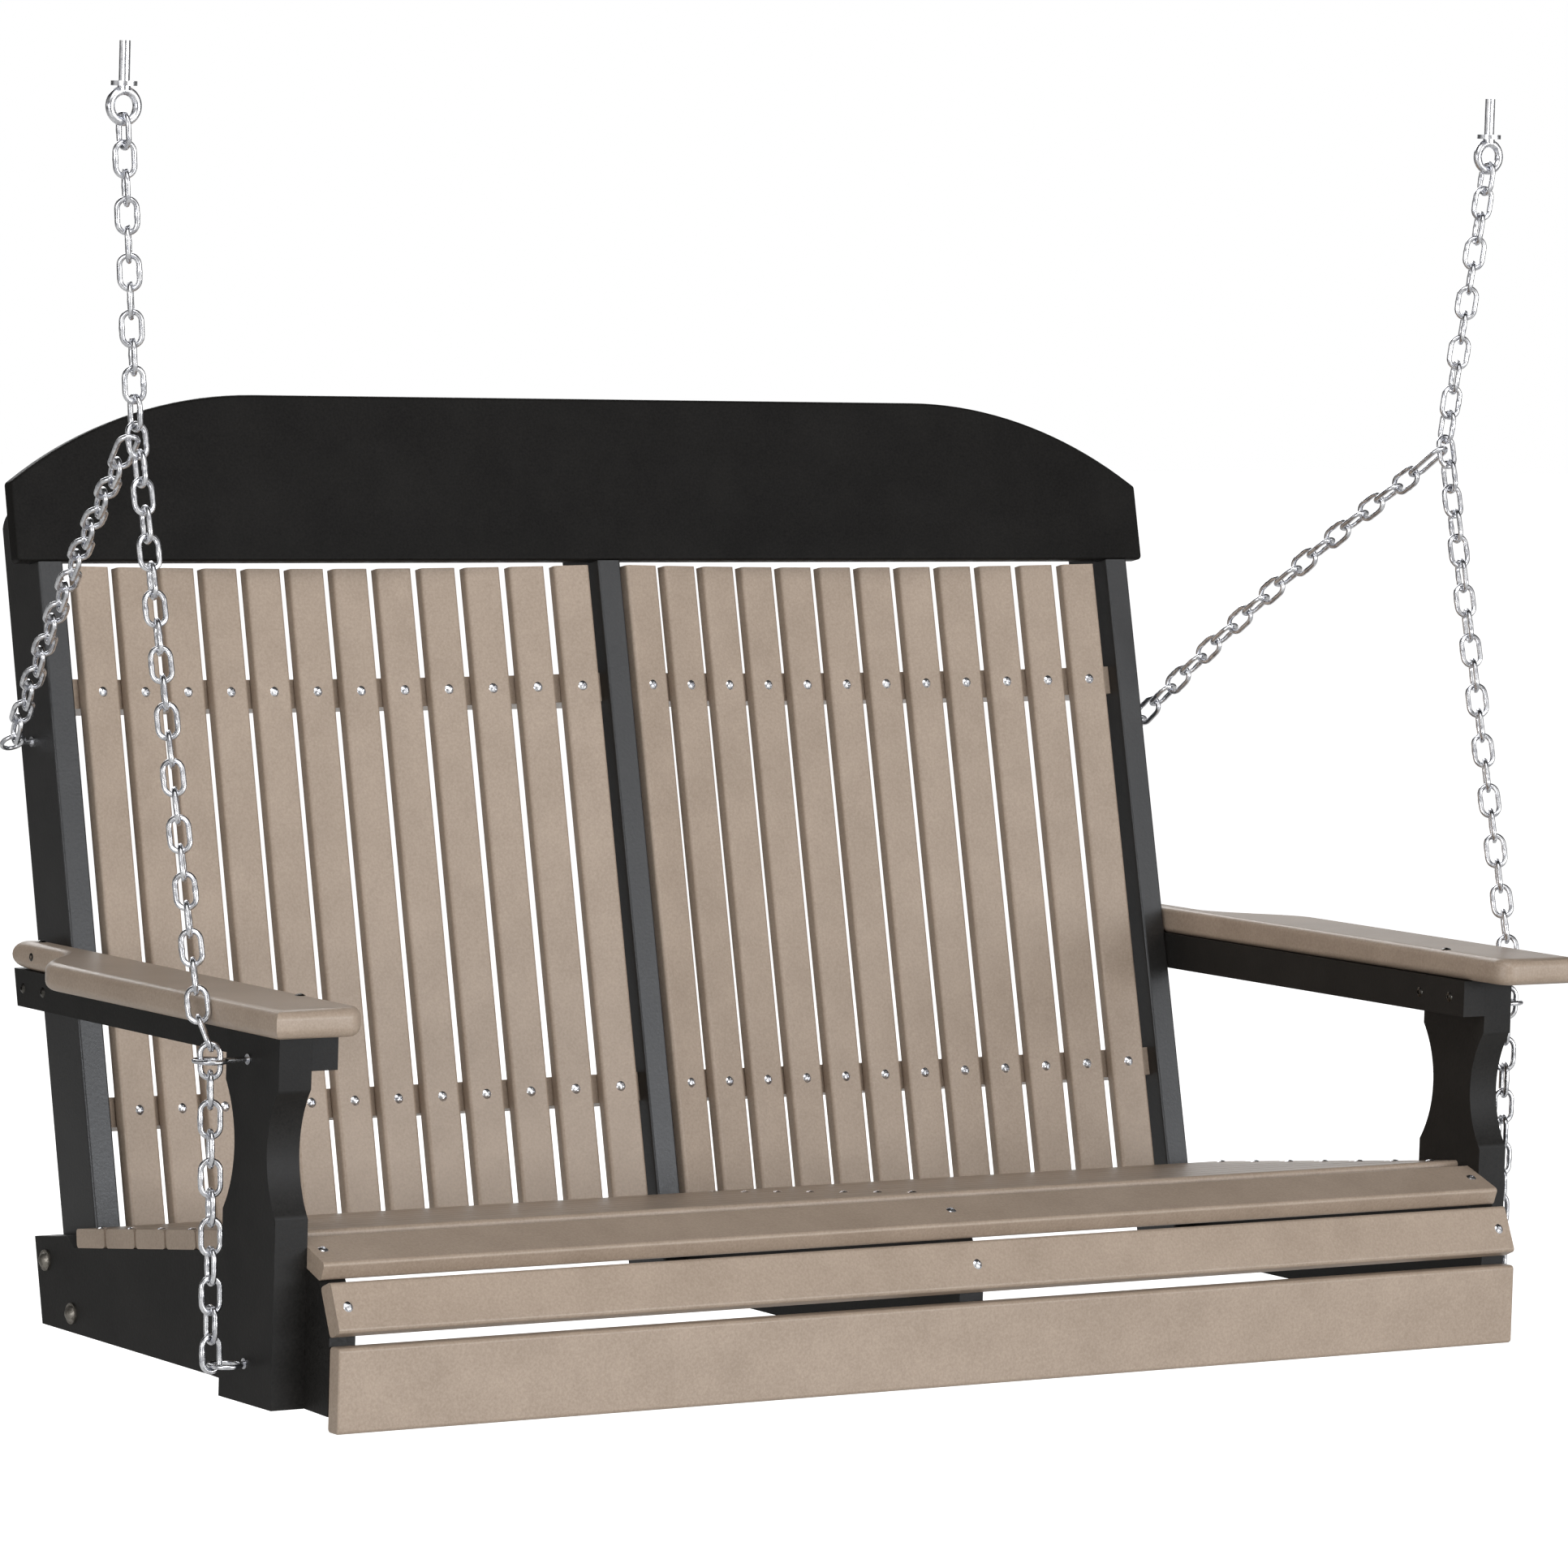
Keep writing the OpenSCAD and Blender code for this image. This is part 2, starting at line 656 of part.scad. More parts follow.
module side_of(side) mirror([side < 0 ? 1 : 0, 0, 0]) children();

steel() ceiling_hook(left);  // ceiling_hook_left
steel() ceiling_hook(right);  // ceiling_hook_right
steel() main_chain(left);  // main_chain_left
steel() main_chain(right);  // main_chain_right
steel() front_chain(left);  // front_chain_left
steel() front_chain(right);  // front_chain_right
steel() rear_chain(left);  // rear_chain_left
steel() rear_chain(right);  // rear_chain_right
steel() snap_hook(left);  // snap_hook_left
steel() snap_hook(right);  // snap_hook_right
steel() snap_gate(left);  // snap_gate_left
steel() snap_gate(right);  // snap_gate_right
steel() side_of(left) arm_eye_bolt();  // arm_eye_left
steel() arm_eye_bolt();  // arm_eye_right
steel() side_of(left) seat_eye_bolt();  // seat_eye_left
steel() seat_eye_bolt();  // seat_eye_right
steel() side_of(left) rear_eye_bolt();  // rear_eye_left
steel() rear_eye_bolt();  // rear_eye_right
dark_board() side_of(left) front_post();  // front_post_left
dark_board() front_post();  // front_post_right
dark_board() side_of(left) arm_rail();  // arm_rail_left
dark_board() arm_rail();  // arm_rail_right
tan_board() side_of(left) arm_board();  // arm_board_left
tan_board() arm_board();  // arm_board_right
dark_board() seat_rail(-seat_w / 2);  // seat_rail_left
dark_board() seat_rail(board_t / 2 + play);  // seat_rail_centre
dark_board() seat_rail(rail_x);  // seat_rail_right
dark_board() upright(-upright_x - board_t);  // back_upright_left
dark_board() upright(-board_t / 2);  // back_upright_centre
dark_board() upright(upright_x);  // back_upright_right
dark_board() crest();  // crest_board
tan_board() cross_rail(left, upper_rail_up);  // upper_cross_rail_left
tan_board() cross_rail(right, upper_rail_up);  // upper_cross_rail_right
tan_board() cross_rail(left, lower_rail_up);  // lower_cross_rail_left
tan_board() cross_rail(right, lower_rail_up);  // lower_cross_rail_right
tan_board() back_panel(left);  // back_slats_left
tan_board() back_panel(right);  // back_slats_right
tan_board() slat(fascia_place, false);  // fascia_board
tan_board() slat(drop_place);  // drop_slat
tan_board() slat(nose_place);  // nose_slat
tan_board() slat(flat_place(1));  // seat_slat_1
tan_board() slat(flat_place(2));  // seat_slat_2
tan_board() slat(flat_place(3));  // seat_slat_3
tan_board() slat(flat_place(4));  // seat_slat_4
tan_board() slat(flat_place(5));  // seat_slat_5
tan_board() slat(flat_place(6));  // seat_slat_6
tan_board() slat(flat_place(7));  // seat_slat_7
steel() seat_screws();
steel() back_screws();
steel() arm_screws();
steel() crest_places() pan_screw(crest_screw_l);  // crest_screws
steel() frame_bolts() frame_bolt();  // rail_bolts

module arm_eye_bolt() eye_bolt(arm_eye, eye_r, 0, post_x + 4, post_x + post_t, 0);
module seat_eye_bolt() eye_bolt(seat_eye, eye_r, 0, rail_x - 8, post_x + post_t, rail_x);
module rear_eye_bolt() {
    eye_bolt(rear_eye, rear_eye_r, -atan2(up_rear[2], -up_rear[1]), upright_x - 8, rail_x, upright_x);
}

module seat_screws() for (place = [drop_place, nose_place, for (k = [1:seat_slats]) flat_place(k)])
    slat_screws(place) pan_screw();

module back_screws() pose_back()
    for (side = [left, right], up = [upper_rail_up, lower_rail_up]) back_slat_screws(side, up) pan_screw(30);

module arm_screws() for (side = [left, right]) side_of(side) {
    post_screws() pan_screw(50);
    arm_rail_screws() pan_screw(44);
    arm_board_screws() pan_screw(44);
}
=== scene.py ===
import json
import math

import bmesh
import bpy
import numpy as np
from mathutils import Matrix, Quaternion, Vector

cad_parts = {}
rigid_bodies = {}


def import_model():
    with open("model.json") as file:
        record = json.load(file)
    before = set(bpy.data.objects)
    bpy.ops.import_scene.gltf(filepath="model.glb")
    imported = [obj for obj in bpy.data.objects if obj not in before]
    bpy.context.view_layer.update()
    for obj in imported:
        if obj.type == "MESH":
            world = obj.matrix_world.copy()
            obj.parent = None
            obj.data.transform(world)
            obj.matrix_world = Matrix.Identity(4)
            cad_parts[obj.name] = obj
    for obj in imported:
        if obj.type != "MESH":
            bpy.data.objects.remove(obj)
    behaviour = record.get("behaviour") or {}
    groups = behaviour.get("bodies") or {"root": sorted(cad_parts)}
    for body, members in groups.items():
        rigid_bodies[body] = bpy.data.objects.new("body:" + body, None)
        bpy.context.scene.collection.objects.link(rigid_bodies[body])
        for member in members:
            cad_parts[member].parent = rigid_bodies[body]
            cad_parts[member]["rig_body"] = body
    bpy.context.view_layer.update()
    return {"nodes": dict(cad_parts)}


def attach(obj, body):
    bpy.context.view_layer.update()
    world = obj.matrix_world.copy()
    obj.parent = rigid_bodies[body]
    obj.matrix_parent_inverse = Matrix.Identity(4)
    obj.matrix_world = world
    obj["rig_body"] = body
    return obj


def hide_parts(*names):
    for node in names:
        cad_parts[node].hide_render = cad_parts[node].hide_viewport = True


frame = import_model()
nodes = frame["nodes"]
scene = bpy.context.scene

# camera

camera = {
    "place": (-3.7640, -5.47225, -0.09466),
    "turn": (-0.5960, -0.0772, -0.0298),  # yaw, pitch and roll in radians
    "lens": 169.08,
    "sensor": 36.0,
    "shift": (0.0018, -0.0005),
}


def makeCamera(c):
    yaw, pitch, roll = c["turn"]
    r = (
        Matrix.Rotation(yaw, 3, "Z")
        @ Matrix.Rotation(pitch, 3, "X")
        @ Matrix.Rotation(roll, 3, "Y")
    )
    # the camera looks along its own +Y before it is turned into Blender's axes
    facing = Matrix((r.col[0], r.col[2], -r.col[1])).transposed()
    data = bpy.data.cameras.new("viewCamera")
    data.lens = c["lens"]
    data.sensor_width = c["sensor"]
    data.shift_x, data.shift_y = c["shift"]
    data.clip_start, data.clip_end = 0.1, 100.0
    ob = bpy.data.objects.new("viewCamera", data)
    ob.matrix_world = Matrix.Translation(c["place"]) @ facing.to_4x4()
    scene.collection.objects.link(ob)
    scene.camera = ob


makeCamera(camera)
print("camera ready")

# materials


class Graph:
    # a short way to add and link shader or geometry nodes

    def __init__(self, tree):
        self.tree = tree

    def add(self, kind, inputs=None, **props):
        node = self.tree.nodes.new(kind)
        for key, value in props.items():
            setattr(node, key, value)
        for key, value in (inputs or {}).items():
            socket = node.inputs[key]
            if isinstance(value, bpy.types.NodeSocket):
                self.tree.links.new(value, socket)
            else:
                socket.default_value = value
        return node

    def maths(self, operation, *values):
        return self.add(
            "ShaderNodeMath", dict(enumerate(values)), operation=operation
        ).outputs["Value"]

    def between(self, factor, low, high):
        return self.add(
            "ShaderNodeMix", {"Factor": factor, "A": low, "B": high}, data_type="FLOAT"
        ).outputs["Result"]

    def remap(self, value, given, wanted=(0.0, 1.0), kind="SMOOTHSTEP"):
        # brings a value from the given range to the wanted one
        return self.add(
            "ShaderNodeMapRange",
            {
                "Value": value,
                "From Min": given[0],
                "From Max": given[1],
                "To Min": wanted[0],
                "To Max": wanted[1],
            },
            interpolation_type=kind,
        ).outputs["Result"]

    def tones(self, value, f):
        # the dark and the light tone of a finish, blended over its range of the value
        ramp = self.add("ShaderNodeValToRGB", {"Fac": value})
        for stop, at, tone in zip(ramp.color_ramp.elements, f["blend"], ("dark", "light")):
            stop.position = at
            stop.color = (*f[tone], 1)
        return ramp.outputs["Color"]


def blankMaterial(name):
    mat = bpy.data.materials.new(name)
    mat.use_nodes = True
    mat.node_tree.nodes.clear()
    return mat, Graph(mat.node_tree)


noiseSpan = (0.3, 0.7)  # where most values of a noise lie
tanFinish = {
    "dark": (0.330, 0.257, 0.198),
    "light": (0.440, 0.350, 0.278),
    "blend": (0.34, 0.66),
    "roughness": (0.31, 0.43),
    "grainSize": 0.0011,  # metres across one grain of the moulded skin
    "blotchSize": 0.05,
    "blotchShare": 0.38,  # of the blotches in the colour
    "poreShare": 0.35,  # of the pores in the relief
    "relief": 0.0006,
    "bump": 0.22,
    "specular": 0.5,
    "sheen": (1.0, 1.0, 1.0),
}
darkFinish = dict(
    tanFinish,
    dark=(0.0085, 0.0078, 0.0068),
    light=(0.0205, 0.0188, 0.0170),
    roughness=(0.44, 0.58),
    blotchSize=0.06,
    bump=0.25,
    specular=0.28,
    # painted bluish tint of the reflections, standing for a bluish light
    sheen=(0.90, 0.94, 1.0),
)
# the crest is the same black lumber as the rest: its colour is painted darker, as painted shade, and
# it reflects less
crestPaintedShadeFinish = dict(
    darkFinish, dark=(0.0062, 0.0056, 0.0050), light=(0.0150, 0.0140, 0.0128), specular=0.1
)
planedFinish = dict(  # the uprights stand edge on, and their planed edges are glossier
    darkFinish, roughness=(0.30, 0.42), specular=0.75, bump=0.18
)
zincFinish = {
    "dark": (0.50, 0.51, 0.55),
    "light": (0.88, 0.89, 0.92),
    "blend": (0.25, 0.62),
    "roughness": (0.16, 0.32),
    "spangle": 0.004,
    "hazeShare": 0.6,  # of the haze in the colour
    "relief": 0.0004,
    "bump": 0.08,
}
# bolt heads and crest screws are a darker, rougher zinc; the arm screws are painted dark, as painted
# shade of the holes they lie sunk in
dullFinish = dict(
    zincFinish, dark=(0.15, 0.14, 0.12), light=(0.30, 0.28, 0.25), roughness=(0.38, 0.5)
)
sunkShadeFinish = dict(zincFinish, dark=(0.03, 0.028, 0.025), light=(0.12, 0.115, 0.105))


def lumber(name, f):
    # plastic lumber: a fine grained skin with pores and soft blotches
    mat, g = blankMaterial(name)
    place = g.add("ShaderNodeTexCoord").outputs["Object"]
    grain = g.add(
        "ShaderNodeTexNoise",
        {"Vector": place, "Scale": 1.0 / f["grainSize"] / 2, "Detail": 3.0, "Roughness": 0.6},
    )
    pores = g.add(
        "ShaderNodeTexVoronoi",
        {"Vector": place, "Scale": 1.0 / f["grainSize"] / 3, "Randomness": 1.0},
    )
    blotch = g.add(
        "ShaderNodeTexNoise",
        {"Vector": place, "Scale": 1.0 / f["blotchSize"], "Detail": 4.0, "Roughness": 0.55},
    )
    mixed = g.between(f["blotchShare"], grain.outputs["Fac"], blotch.outputs["Fac"])
    height = g.between(f["poreShare"], grain.outputs["Fac"], pores.outputs["Distance"])
    bump = g.add(
        "ShaderNodeBump", {"Strength": f["bump"], "Distance": f["relief"], "Height": height}
    )
    skin = g.add(
        "ShaderNodeBsdfPrincipled",
        {
            "Base Color": g.tones(mixed, f),
            "Roughness": g.remap(grain.outputs["Fac"], noiseSpan, f["roughness"], "LINEAR"),
            "Specular IOR Level": f["specular"],
            "Specular Tint": (*f["sheen"], 1),
            "Normal": bump.outputs["Normal"],
        },
    )
    g.add("ShaderNodeOutputMaterial", {"Surface": skin.outputs["BSDF"]})
    return mat


def zinc(name, f):
    # zinc plate with a faint spangle and handling marks
    mat, g = blankMaterial(name)
    place = g.add("ShaderNodeTexCoord").outputs["Object"]
    cells = g.add("ShaderNodeTexVoronoi", {"Vector": place, "Scale": 1.0 / f["spangle"]})
    haze = g.add(
        "ShaderNodeTexNoise",
        {"Vector": place, "Scale": 1.0 / f["spangle"] / 2, "Detail": 5.0, "Roughness": 0.65},
    )
    shade = g.add("ShaderNodeSeparateColor", {"Color": cells.outputs["Color"]})
    mixed = g.between(f["hazeShare"], shade.outputs["Red"], haze.outputs["Fac"])
    bump = g.add(
        "ShaderNodeBump",
        {"Strength": f["bump"], "Distance": f["relief"], "Height": haze.outputs["Fac"]},
    )
    plate = g.add(
        "ShaderNodeBsdfPrincipled",
        {
            "Base Color": g.tones(mixed, f),
            "Metallic": 1.0,
            "Roughness": g.remap(haze.outputs["Fac"], noiseSpan, f["roughness"], "LINEAR"),
            "Normal": bump.outputs["Normal"],
        },
    )
    g.add("ShaderNodeOutputMaterial", {"Surface": plate.outputs["BSDF"]})
    return mat


tanLumber = lumber("tanLumber", tanFinish)
darkLumber = lumber("darkLumber", darkFinish)
crestPaintedShadeLumber = lumber("crestPaintedShadeLumber", crestPaintedShadeFinish)
planedLumber = lumber("planedLumber", planedFinish)
zincSteel = zinc("zincSteel", zincFinish)
dullSteel = zinc("dullSteel", dullFinish)
sunkShadeSteel = zinc("sunkShadeSteel", sunkShadeFinish)

tanWords = ("slat", "fascia_board", "arm_board", "cross_rail")
steelWords = ("chain", "hook", "gate", "eye", "screws", "bolts")
steelOf = {"rail_bolts": dullSteel, "crest_screws": dullSteel, "arm_screws": sunkShadeSteel}
finishOf = {}
for name, ob in nodes.items():
    if any(w in name for w in tanWords):
        finishOf[name] = tanLumber
    elif any(w in name for w in steelWords):
        finishOf[name] = steelOf.get(name, zincSteel)
    elif "upright" in name:
        finishOf[name] = planedLumber
    else:
        finishOf[name] = crestPaintedShadeLumber if name == "crest_board" else darkLumber
    ob.data.materials.clear()
    ob.data.materials.append(finishOf[name])
print("materials on", len(nodes), "nodes")

# floor and light

stage = {
    "floorZ": -1.58,
    "floorSize": 60.0,
    "floorColour": (0.80, 0.80, 0.79),
    "roomColour": (1, 0.985, 0.97, 1),
    "roomLevel": (0.22, 1.0),  # the room on the viewer's side is uneven, as a real one is
    "roomNoise": (0.36, 0.64),
    "roomPatches": 1.3,
    "backWay": (0.56, 0.83, -0.08),  # towards the white background
    "backSpan": (0.80, 0.95),  # how far round it reaches, as the cosine to backWay
    "sideSpan": (0.25, -0.25),  # the room is dark beside and behind the object, by that cosine
    "roofSpan": (0.80, 0.35),  # and dark overhead, by the height of the way
    "shade": 0.12,  # what is left of the light there
    "floorGlow": (0.68, 1.0),  # near the object, where its shadow shows, and far off
    "glowReach": (2.5, 7.0),
    "keyLamp": {"place": (2.3, -5.9, -0.3), "size": (5.0, 1.2), "power": 146, "aim": (0, 0, -0.75)},
    "sideLamp": {"place": (-5.2, -3.2, -0.35), "size": (2.6, 1.6), "power": 78, "aim": (0, 0, -0.8)},
    "topLamp": {"place": (-1.6, -3.0, 3.2), "size": (3.0, 3.0), "power": 96, "aim": (0, 0, -0.8)},
    "rearLamp": {"place": (1.0, 5.0, 2.9), "size": (4.0, 3.0), "power": 170, "aim": (0, 0, -0.8)},
}


def seenWhite(g, s, way):
    # the camera's own rays, and rays by way of metal or gloss that end behind the object
    path = g.add("ShaderNodeLightPath")
    mirror = g.maths("MAXIMUM", path.outputs["Is Glossy Ray"], path.outputs["Is Transmission Ray"])
    facing = g.add(
        "ShaderNodeVectorMath", {0: way, 1: s["backWay"]}, operation="DOT_PRODUCT"
    ).outputs["Value"]
    mirrored = g.maths("MULTIPLY", mirror, g.remap(facing, s["backSpan"]))
    return g.maths("MAXIMUM", path.outputs["Is Camera Ray"], mirrored), facing


def makeFloor(s):
    mesh = bpy.data.meshes.new("floor")
    h = s["floorSize"] / 2
    mesh.from_pydata(
        [(-h, -h, s["floorZ"]), (h, -h, s["floorZ"]), (h, h, s["floorZ"]), (-h, h, s["floorZ"])],
        [],
        [(0, 1, 2, 3)],
    )
    floor = bpy.data.objects.new("floor", mesh)
    scene.collection.objects.link(floor)
    mat, g = blankMaterial("paleFloor")
    matt = g.add(
        "ShaderNodeBsdfPrincipled",
        {"Base Color": (*s["floorColour"], 1), "Roughness": 0.9, "Specular IOR Level": 0.1},
    )
    place = g.add("ShaderNodeNewGeometry").outputs["Position"]
    off = g.add("ShaderNodeVectorMath", {0: place}, operation="LENGTH").outputs["Value"]
    glow = g.remap(off, s["glowReach"], s["floorGlow"])
    lift = g.add("ShaderNodeEmission", {"Color": (1, 1, 1, 1), "Strength": glow})
    both = g.add("ShaderNodeAddShader", {0: matt.outputs["BSDF"], 1: lift.outputs["Emission"]})
    way = g.add("ShaderNodeVectorMath", {0: place}, operation="NORMALIZE").outputs["Vector"]
    seen, _ = seenWhite(g, s, way)
    mix = g.add(
        "ShaderNodeMixShader", {0: seen, 1: matt.outputs["BSDF"], 2: both.outputs["Shader"]}
    )
    g.add("ShaderNodeOutputMaterial", {"Surface": mix.outputs["Shader"]})
    mesh.materials.append(mat)


def makeWorld(s):
    world = bpy.data.worlds.new("studio")
    scene.world = world
    world.use_nodes = True
    world.node_tree.nodes.clear()
    g = Graph(world.node_tree)
    white = g.add("ShaderNodeBackground", {"Color": (1, 1, 1, 1), "Strength": 1.0})
    way = g.add("ShaderNodeTexCoord").outputs["Generated"]
    seen, facing = seenWhite(g, s, way)
    walls = g.add(
        "ShaderNodeTexNoise", {"Vector": way, "Scale": s["roomPatches"], "Detail": 1.0}
    )
    height = g.add("ShaderNodeSeparateXYZ", {"Vector": way}).outputs["Z"]
    level = g.remap(walls.outputs["Fac"], s["roomNoise"], s["roomLevel"])
    for value, span in ((facing, s["sideSpan"]), (height, s["roofSpan"])):
        level = g.maths("MULTIPLY", level, g.remap(value, span, (s["shade"], 1.0)))
    room = g.add("ShaderNodeBackground", {"Color": s["roomColour"], "Strength": level})
    mix = g.add(
        "ShaderNodeMixShader",
        {0: seen, 1: room.outputs["Background"], 2: white.outputs["Background"]},
    )
    g.add("ShaderNodeOutputWorld", {"Surface": mix.outputs["Shader"]})


def makeLamp(name, lamp):
    data = bpy.data.lights.new(name, "AREA")
    data.shape = "RECTANGLE"
    data.size, data.size_y = lamp["size"]
    data.energy = lamp["power"]
    ob = bpy.data.objects.new(name, data)
    place = Vector(lamp["place"])
    ob.rotation_mode = "QUATERNION"
    ob.location = place
    ob.rotation_quaternion = (Vector(lamp["aim"]) - place).to_track_quat("-Z", "Y")
    scene.collection.objects.link(ob)


makeFloor(stage)
makeWorld(stage)
for lampName in ("keyLamp", "sideLamp", "topLamp", "rearLamp"):
    makeLamp(lampName, stage[lampName])
scene.view_settings.view_transform = "Standard"
print("floor and lamps ready")

# solids of a CAD node

samePlace = 1e-6  # points nearer than this are one


def solidsOf(name):
    # point lists of the separate solids in a CAD node, followed from edge to edge
    bm = bmesh.new()
    bm.from_mesh(nodes[name].data)
    bmesh.ops.remove_doubles(bm, verts=bm.verts, dist=samePlace)
    seen, solids = set(), []
    for start in bm.verts:
        if start.index in seen:
            continue
        seen.add(start.index)
        group, front = [], [start]
        while front:
            v = front.pop()
            group.append(v.co[:])
            for e in v.link_edges:
                w = e.other_vert(v)
                if w.index not in seen:
                    seen.add(w.index)
                    front.append(w)
        solids.append(np.array(group))
    bm.free()
    return solids


def principalAxes(points):
    # three unit axes, the longest run of the solid last, its middle and its half lengths
    axes = np.linalg.eigh(np.cov((points - points.mean(0)).T))[1].T
    along = points @ axes.T
    low, high = along.min(0), along.max(0)
    return axes, ((low + high) / 2) @ axes, (high - low) / 2


def pointCloud(name, places, turns, stretches):
    mesh = bpy.data.meshes.new(name)
    mesh.from_pydata(places, [], [])
    for key, rows in (("turn", turns), ("stretch", stretches)):
        layer = mesh.attributes.new(key, "FLOAT_VECTOR", "POINT")
        layer.data.foreach_set("vector", [x for row in rows for x in row])
    ob = bpy.data.objects.new(name, mesh)
    scene.collection.objects.link(ob)
    return ob


def newTree(name, inputs):
    tree = bpy.data.node_groups.new(name, "GeometryNodeTree")
    tree.interface.new_socket("Geometry", in_out="OUTPUT", socket_type="NodeSocketGeometry")
    tree.interface.new_socket("Geometry", in_out="INPUT", socket_type="NodeSocketGeometry")
    for label, kind in inputs:
        tree.interface.new_socket(label, in_out="INPUT", socket_type="NodeSocket" + kind)
    return tree, Graph(tree)


def placeEach(g, given, instance):
    # instances at the points, turned and stretched as the points say, made one plain mesh
    turn = g.add("GeometryNodeInputNamedAttribute", {"Name": "turn"}, data_type="FLOAT_VECTOR")
    stretch = g.add(
        "GeometryNodeInputNamedAttribute", {"Name": "stretch"}, data_type="FLOAT_VECTOR"
    )
    placed = g.add(
        "GeometryNodeInstanceOnPoints",
        {
            "Points": given.outputs["Geometry"],
            "Instance": instance,
            "Rotation": turn.outputs["Attribute"],
            "Scale": stretch.outputs["Attribute"],
        },
    )
    plain = g.add("GeometryNodeRealizeInstances", {"Geometry": placed.outputs["Instances"]})
    made = g.add(
        "GeometryNodeSetMaterial",
        {"Geometry": plain.outputs["Geometry"], "Material": given.outputs["Material"]},
    )
    g.add("NodeGroupOutput", {"Geometry": made.outputs["Geometry"]})


def bake(ob, tree, values, name, body, replaced):
    # gives the modifier its inputs, takes the evaluated mesh, parents the piece to its body and hides
    # the node it replaces
    mod = ob.modifiers.new("build", "NODES")
    mod.node_group = tree
    for item in tree.interface.items_tree:
        if item.in_out == "INPUT" and item.name in values:
            mod[item.identifier] = values[item.name]
    graph = bpy.context.evaluated_depsgraph_get()
    mesh = bpy.data.meshes.new_from_object(ob.evaluated_get(graph), depsgraph=graph)
    bpy.data.objects.remove(ob)
    mesh.name = name
    for key in ("turn", "stretch"):
        if key in mesh.attributes:
            mesh.attributes.remove(mesh.attributes[key])
    piece = bpy.data.objects.new(name, mesh)
    scene.collection.objects.link(piece)
    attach(piece, body)
    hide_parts(replaced)


# chain links

links = {
    "wire": 0.0048,
    "width": 0.0168,  # between the middles of the two legs
    "length": 0.0288,  # between the middles of the two bends
    "weldLength": 0.0042,
    "weldSwell": 0.13,
    "weldTurns": 3,  # one weld in so many lies on the other side
    "bendSteps": 16,
    "pathSteps": 40,
    "wireSides": 12,
}


def linkTree():
    tree, g = newTree(
        "chainLinks",
        [
            ("Width", "Float"),
            ("Length", "Float"),
            ("Wire", "Float"),
            ("Weld length", "Float"),
            ("Weld swell", "Float"),
            ("Bend steps", "Int"),
            ("Steps", "Int"),
            ("Sides", "Int"),
            ("Material", "Material"),
        ],
    )
    given = g.add("NodeGroupInput")
    box = g.add(
        "GeometryNodeCurvePrimitiveQuadrilateral",
        {"Width": given.outputs["Width"], "Height": given.outputs["Length"]},
    )
    almostHalf = 0.4999  # a full half would leave no edge between two bends
    bend = g.maths("MULTIPLY", given.outputs["Width"], almostHalf)
    oval = g.add(
        "GeometryNodeFilletCurve",
        {"Curve": box.outputs["Curve"], "Count": given.outputs["Bend steps"], "Radius": bend},
        mode="POLY",
    )
    even = g.add(
        "GeometryNodeResampleCurve", {"Curve": oval.outputs["Curve"], "Count": given.outputs["Steps"]}
    )
    # the butt weld swells the middle of one leg
    position = g.add("GeometryNodeInputPosition").outputs["Position"]
    at = g.add("ShaderNodeSeparateXYZ", {"Vector": position})
    side = g.maths("GREATER_THAN", at.outputs["X"], 0.0)
    near = g.remap(g.maths("ABSOLUTE", at.outputs["Y"]), (given.outputs["Weld length"], 0.0))
    lump = g.maths("MULTIPLY", near, side)
    swell = g.maths("MULTIPLY_ADD", lump, given.outputs["Weld swell"], 1.0)
    radius = g.maths("MULTIPLY", given.outputs["Wire"], 0.5)
    ring = g.add(
        "GeometryNodeCurvePrimitiveCircle",
        {"Resolution": given.outputs["Sides"], "Radius": radius},
    )
    body = g.add(
        "GeometryNodeCurveToMesh",
        {
            "Curve": even.outputs["Curve"],
            "Profile Curve": ring.outputs["Curve"],
            "Scale": swell,
        },
    )
    smooth = g.add("GeometryNodeSetShadeSmooth", {"Geometry": body.outputs["Mesh"]})
    placeEach(g, given, smooth.outputs["Geometry"])
    return tree


def makeChains(s):
    tree = linkTree()
    count = 0
    for name in [n for n in nodes if "chain" in n]:
        places, turns, stretches = [], [], []
        for k, points in enumerate(solidsOf(name)):
            axes, middle, half = principalAxes(points)
            normal, along = Vector(axes[0]), Vector(axes[2])
            flip = -1 if k % s["weldTurns"] == 1 else 1
            facing = Matrix((along.cross(normal) * flip, along, normal * flip)).transposed()
            places.append(middle)
            turns.append(facing.to_euler()[:])
            stretches.append((1, (2 * half[2] - s["wire"]) / s["length"], 1))
        cloud = pointCloud(name + "_places", places, turns, stretches)
        values = {
            "Width": s["width"],
            "Length": s["length"],
            "Wire": s["wire"],
            "Weld length": s["weldLength"],
            "Weld swell": s["weldSwell"],
            "Bend steps": s["bendSteps"],
            "Steps": s["pathSteps"],
            "Sides": s["wireSides"],
            "Material": zincSteel,
        }
        bake(cloud, tree, values, name + "_links", nodes[name]["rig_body"], name)
        count += len(places)
    print("chain links", count)


makeChains(links)

# screws

screws = {
    "head": 0.0094,
    "rise": 0.0017,
    "shank": 0.0042,
    "socket": 0.0030,  # across the flats of the square drive
    "socketDepth": 0.0013,
    "socketRings": (1.12, 1.0, 0.9),  # flared mouth, wall and floor, as parts of its size
    "mouthDepth": 0.2,  # as a part of the rise
    "domeRings": (0.92, 0.8, 0.64),
    "spin": 2.4,  # from one drive to the next, as they come to rest at any angle
    "sharpAngle": 35,
    "tailScrew": (0.6366, 0.3235, -0.7775),  # seat of the head in the side of an arm's tail
    "sides": 24,
}


